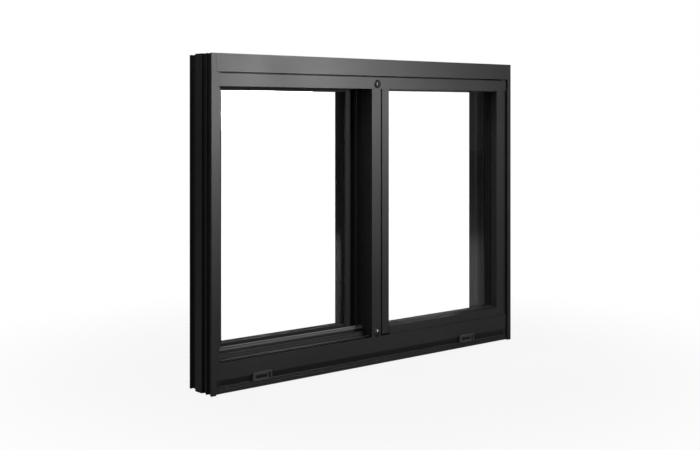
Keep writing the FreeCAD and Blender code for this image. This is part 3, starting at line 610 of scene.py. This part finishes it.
def grown(name, mesh, tree, values):
    """Runs a geometry node group once on a mesh and keeps the result as a plain piece."""
    piece = placed(name, mesh)
    run = piece.modifiers.new("grow", "NODES")
    run.node_group = tree
    for item in tree.interface.items_tree:
        if item.in_out == "INPUT" and item.name in values:
            run[item.identifier] = values[item.name]
    bake_modifiers(piece)
    piece.data.name = name
    return piece


slots, slots_in, slots_out = grower(
    "perforation_row",
    [
        ("Pitch", "NodeSocketFloat"),
        ("Slot length", "NodeSocketFloat"),
        ("Slot width", "NodeSocketFloat"),
    ],
)
path = wired(slots, "GeometryNodeMeshToCurve", {"Mesh": slots_in["Geometry"]})
stations = wired(
    slots,
    "GeometryNodeCurveToPoints",
    {"Curve": path.outputs["Curve"], "Length": slots_in["Pitch"]},
    mode="LENGTH",
)
slot_size = wired(
    slots,
    "ShaderNodeCombineXYZ",
    {"X": slots_in["Slot width"], "Y": slots_in["Slot width"], "Z": slots_in["Slot length"]},
)
slot_block = wired(slots, "GeometryNodeMeshCube", {"Size": slot_size.outputs["Vector"]})
slot_row = wired(
    slots,
    "GeometryNodeInstanceOnPoints",
    {
        "Points": stations.outputs["Points"],
        "Rotation": stations.outputs["Rotation"],
        "Instance": slot_block.outputs["Mesh"],
    },
)
ended(slots, slot_row.outputs["Instances"], perforation_shade, slots_out)

sunk = 0.00022
for node in ("fixed_spacer", "sash_spacer"):
    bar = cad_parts[node]
    finished(bar, spacer_metal)
    spots = [bar.matrix_world @ vertex.co for vertex in bar.data.vertices]
    across = sorted({round(spot.x, 5) for spot in spots})
    up = sorted({round(spot.z, 5) for spot in spots})
    low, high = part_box(node)
    middle = (low[1] + high[1]) / 2
    left, right = across[1] - sunk, across[-2] + sunk
    foot, top = up[1] - sunk, up[-2] + sunk
    ring_mesh = bpy.data.meshes.new(node + "_path")
    ring_mesh.from_pydata(
        [(left, middle, foot), (right, middle, foot), (right, middle, top), (left, middle, top)],
        [(0, 1), (1, 2), (2, 3), (3, 0)],
        [],
    )
    values = {"Pitch": 0.004, "Slot length": 0.0016, "Slot width": 0.0005}
    row = grown(node + "_perforations", ring_mesh, slots, values)
    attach(row, "root")
    finished(row, perforation_shade)
for node in (
    "fixed_outer_seal",
    "fixed_inner_seal",
    "sash_outer_seal",
    "sash_inner_seal",
    "fixed_setting_blocks",
    "sash_setting_blocks",
):
    finished(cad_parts[node], seal_rubber)

# Cover at the right jamb: a stepped extrusion, snapped in to close the inner track where
# the fixed lite stands. Coated like the frame.
finished(softened("right_jamb_cover"), post_coat)

# Sliding sash: two stiles and two rails round its own glass unit. Extruded aluminium,
# screwed together at the corners and coated a little more matt than the frame.
matt_black = {
    "coat": (0.0065, 0.0065, 0.0067),
    "dust": (0.010, 0.010, 0.0102),
    "roughness": 0.55,
    "gloss_range": 0.14,
    "grain": 1500,
    "relief": 0.00007,
    "specular": 0.12,
}
sash_post_coat = coated("matt_black_sash_stiles", lines=along_z, **matt_black)
sash_rail_coat = coated("matt_black_sash_rails", lines=along_x, **matt_black)
for node in ("sash_left_stile", "sash_interlock_stile"):
    finished(softened(node), sash_post_coat)
for node in ("sash_bottom_rail", "sash_top_rail"):
    finished(softened(node), sash_rail_coat)

# Rollers: moulded nylon wheels in nylon housings, pressed up into the hollow of the bottom
# rail, so that the wheels stand on the track.
roller_nylon = coated(
    "roller_nylon",
    coat=(0.07, 0.07, 0.07),
    dust=(0.10, 0.10, 0.10),
    roughness=0.5,
    gloss_range=0.15,
    grain=1200,
    lines=(300, 300, 300),
    relief=0.00006,
)
for node in ("roller_housing_left", "roller_housing_right", "sash_roller_left", "sash_roller_right"):
    finished(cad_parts[node], roller_nylon)

# Latch: a low moulded slide on the room side of the left stile, with a row of fine ribs
# across it for the thumb.
latch_plastic = coated(
    "latch_plastic",
    coat=(0.013, 0.013, 0.0135),
    dust=(0.022, 0.022, 0.022),
    roughness=0.36,
    gloss_range=0.12,
    grain=2400,
    lines=(300, 300, 300),
    relief=0.00005,
)
finished(softened("sash_latch"), latch_plastic)
ribs, ribs_in, ribs_out = grower(
    "rib_row",
    [
        ("Count", "NodeSocketInt"),
        ("Start", "NodeSocketVector"),
        ("Step", "NodeSocketVector"),
        ("Size", "NodeSocketVector"),
    ],
)
rib_line = wired(
    ribs,
    "GeometryNodeMeshLine",
    {
        "Count": ribs_in["Count"],
        "Start Location": ribs_in["Start"],
        "Offset": ribs_in["Step"],
    },
)
rib_block = wired(ribs, "GeometryNodeMeshCube", {"Size": ribs_in["Size"]})
rib_places = wired(
    ribs,
    "GeometryNodeInstanceOnPoints",
    {"Points": rib_line.outputs["Mesh"], "Instance": rib_block.outputs["Mesh"]},
)
ended(ribs, rib_places.outputs["Instances"], latch_plastic, ribs_out)
low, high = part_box("sash_latch")
rib_count = 11
rib_pitch = 0.0025
first_rib = (low[2] + high[2]) / 2 - rib_pitch * (rib_count - 1) / 2
values = {
    "Count": rib_count,
    "Start": ((low[0] + high[0]) / 2, high[1], first_rib),
    "Step": (0.0, 0.0, rib_pitch),
    "Size": ((high[0] - low[0]) * 0.55, 0.0012, 0.0011),
}
grips = grown("sash_latch_grips", bpy.data.meshes.new("latch_start"), ribs, values)
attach(grips, "root")
finished(grips, latch_plastic)

# Pile strip on the mullion's wing: rows of stiff polypropylene tufts woven through a flat
# backing tape, slid into a groove; the tufts brush the sash.
pile_cloth = coated(
    "woven_pile",
    coat=(0.012, 0.012, 0.0125),
    dust=(0.02, 0.02, 0.02),
    roughness=0.85,
    gloss_range=0.1,
    grain=1500,
    lines=(900, 900, 900),
    relief=0.0001,
    specular=0.15,
)
tufts, tufts_in, tufts_out = grower(
    "pile_tufts",
    [
        ("Centre", "NodeSocketVector"),
        ("Width", "NodeSocketFloat"),
        ("Length", "NodeSocketFloat"),
        ("Height", "NodeSocketFloat"),
        ("Thickness", "NodeSocketFloat"),
        ("Rows", "NodeSocketInt"),
        ("Tufts in a row", "NodeSocketInt"),
        ("Least lean", "NodeSocketVector"),
        ("Most lean", "NodeSocketVector"),
        ("Shortest", "NodeSocketFloat"),
        ("Longest", "NodeSocketFloat"),
        ("Seed", "NodeSocketInt"),
    ],
)
field = wired(
    tufts,
    "GeometryNodeMeshGrid",
    {
        "Size X": tufts_in["Width"],
        "Size Y": tufts_in["Length"],
        "Vertices X": tufts_in["Rows"],
        "Vertices Y": tufts_in["Tufts in a row"],
    },
)
tuft = wired(
    tufts,
    "GeometryNodeMeshCone",
    {"Vertices": 5, "Depth": tufts_in["Height"], "Radius Bottom": tufts_in["Thickness"]},
)
lean = wired(
    tufts,
    "FunctionNodeRandomValue",
    {"Min": tufts_in["Least lean"], "Max": tufts_in["Most lean"], "Seed": tufts_in["Seed"]},
    data_type="FLOAT_VECTOR",
)
length_share = wired(
    tufts,
    "FunctionNodeRandomValue",
    {"Min": tufts_in["Shortest"], "Max": tufts_in["Longest"], "Seed": tufts_in["Seed"]},
    data_type="FLOAT",
)
tuft_places = wired(
    tufts,
    "GeometryNodeInstanceOnPoints",
    {
        "Points": field.outputs["Mesh"],
        "Instance": tuft.outputs["Mesh"],
        "Rotation": lean.outputs["Value"],
        "Scale": length_share.outputs["Value"],
    },
)
upright = wired(
    tufts,
    "GeometryNodeTransform",
    {
        "Geometry": tuft_places.outputs["Instances"],
        "Rotation": (-math.pi / 2, 0, 0),
        "Translation": tufts_in["Centre"],
    },
)
tape_and_tufts = tufts.nodes.new("GeometryNodeJoinGeometry")
tufts.links.new(tufts_in["Geometry"], tape_and_tufts.inputs["Geometry"])
tufts.links.new(upright.outputs["Geometry"], tape_and_tufts.inputs["Geometry"])
ended(tufts, tape_and_tufts.outputs["Geometry"], pile_cloth, tufts_out)

low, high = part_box("meeting_pile")
tape_thickness = 0.0007
tape = block("pile_tape", low, (high[0], low[1] + tape_thickness, high[2]))
tape_mesh = tape.data
bpy.data.objects.remove(tape)
values = {
    "Centre": ((low[0] + high[0]) / 2, low[1] + 0.0017, (low[2] + high[2]) / 2),
    "Width": high[0] - low[0] - 0.0026,
    "Length": high[2] - low[2] - 0.0016,
    "Height": high[1] - low[1] - tape_thickness,
    "Thickness": 0.00045,
    "Rows": 5,
    "Tufts in a row": 520,
    "Least lean": (-0.22, -0.22, 0.0),
    "Most lean": (0.22, 0.22, 3.0),
    "Shortest": 0.86,
    "Longest": 0.98,
    "Seed": 7,
}
strip = grown("meeting_pile_woven", tape_mesh, tufts, values)
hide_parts("meeting_pile")
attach(strip, "root")
finished(strip, pile_cloth)

# Camera: at the photograph's height and angle, level, with the picture shifted down so that
# upright edges stay upright.
view_direction = (0.6443, 0.7647, 0)
camera_data = bpy.data.cameras.new("photo_camera")
camera_data.lens = 57.75
camera_data.sensor_width = 36
camera_data.shift_y = -0.16
camera = placed("photo_camera", camera_data)
camera.location = (-1.4387, -1.6586, 0.4864)
camera.rotation_euler = (math.radians(90), 0, -math.atan2(view_direction[0], view_direction[1]))
bpy.context.scene.camera = camera


# Lamps: a soft lamp in front to the right, whose sheen fades down the frame, weaker ones to
# the left and right, one high on the room side and one overhead.
def lamp(name, position, target, size, power):
    data = bpy.data.lights.new(name, "AREA")
    data.size = size
    data.energy = power
    item = placed(name, data)
    item.location = position
    toward = Vector(target) - Vector(position)
    item.rotation_euler = toward.to_track_quat("-Z", "Y").to_euler()


lamp("front_lamp", (1.19, -2.06, 0.67), (-0.2, 0, 0.5), size=0.5, power=42)
lamp("left_lamp", (-2.6, -0.9, 0.9), (-0.2, 0, 0.3), size=1.2, power=30)
lamp("room_lamp", (-0.4, 1.7, 2.5), (0, 0, 0.3), size=1.2, power=60)
lamp("top_lamp", (-0.5, -0.7, 2.3), (-0.1, 0, 0.1), size=0.7, power=32)
lamp("right_lamp", (2.6, 0.9, 0.9), (0.2, 0, 0.3), size=1.2, power=30)

# Room: plain white surroundings, seen as white by the camera and through the glass, and
# dimmer in what the frame mirrors, with a paler stretch on the side that the camera faces.
seen_white = 1.0
through_panes_white = 1.25
fill_light = 0.3
world = bpy.data.worlds.new("studio")
world.use_nodes = True
bpy.context.scene.world = world
air = world.node_tree
sight = air.nodes.new("ShaderNodeLightPath").outputs
toward_backdrop = wired(
    air,
    "ShaderNodeVectorMath",
    {0: air.nodes.new("ShaderNodeTexCoord").outputs["Generated"], 1: view_direction},
    operation="DOT_PRODUCT",
)
backdrop = wired(
    air,
    "ShaderNodeMapRange",
    {
        "Value": toward_backdrop.outputs["Value"],
        "From Min": 0.2,
        "From Max": 0.6,
        "To Min": 0.06,
        "To Max": 0.3,
    },
    interpolation_type="SMOOTHSTEP",
)


def straight_through(tree, light_path):
    """One for a ray that has passed through glass and met nothing else since the camera."""
    turns = math_node(tree, "ADD", light_path["Glossy Depth"], light_path["Diffuse Depth"])
    met_nothing = math_node(tree, "LESS_THAN", turns, 0.5)
    return math_node(tree, "MULTIPLY", light_path["Is Transmission Ray"], met_nothing)


def chosen(flag, yes, no):
    """One strength where the ray has the flag, another where it hasn't."""
    return wired(air, "ShaderNodeMix", {"Factor": flag, "A": no, "B": yes}).outputs["Result"]


once_mirrored = math_node(air, "MINIMUM", sight["Glossy Depth"], 1.0)
mirrors = math_node(air, "MAXIMUM", sight["Is Glossy Ray"], once_mirrored)
unseen = chosen(mirrors, backdrop.outputs["Result"], fill_light)
past_panes = chosen(straight_through(air, sight), through_panes_white, unseen)
background = air.nodes["Background"]
background.inputs["Color"].default_value = (1, 1, 1, 1)
air.links.new(
    chosen(sight["Is Camera Ray"], seen_white, past_panes), background.inputs["Strength"]
)

# Floor: a pale matt sheet that keeps the window's shadow near the object and fades to the
# white of the room around it.
floor_reach = 9
floor_mesh = bpy.data.meshes.new("floor")
floor_mesh.from_pydata(
    [(x * floor_reach, y * floor_reach, 0) for x, y in ((-1, -1), (1, -1), (1, 1), (-1, 1))],
    [],
    [(0, 1, 2, 3)],
)
floor = placed("floor", floor_mesh)
pale, pale_tree, pale_surface = new_material(
    "pale_floor", Roughness=0.9, Base_Color=(0.11, 0.11, 0.11, 1)
)
away = wired(pale_tree, "ShaderNodeVectorMath", {0: object_place(pale_tree)}, operation="LENGTH")
fade = wired(
    pale_tree,
    "ShaderNodeMapRange",
    {
        "Value": away.outputs["Value"],
        "From Min": 0.35,
        "From Max": 1.0,
        "To Min": 0.9,
        "To Max": 1.0,
    },
    interpolation_type="SMOOTHSTEP",
)
floor_path = pale_tree.nodes.new("ShaderNodeLightPath").outputs
past_glass = straight_through(pale_tree, floor_path)
floor_seen = math_node(pale_tree, "MAXIMUM", floor_path["Is Camera Ray"], past_glass)
pane_gain = math_node(pale_tree, "MULTIPLY", past_glass, through_panes_white - seen_white)
white_light = wired(
    pale_tree,
    "ShaderNodeEmission",
    {"Strength": math_node(pale_tree, "ADD", seen_white, pane_gain)},
)
floor_mix = wired(
    pale_tree,
    "ShaderNodeMixShader",
    {
        "Fac": math_node(pale_tree, "MULTIPLY", fade.outputs["Result"], floor_seen),
        1: pale_surface.outputs["BSDF"],
        2: white_light.outputs["Emission"],
    },
)
pale_tree.links.new(
    floor_mix.outputs["Shader"], pale_tree.nodes["Material Output"].inputs["Surface"]
)
floor_mesh.materials.append(pale)

bpy.context.scene.view_settings.view_transform = "Standard"
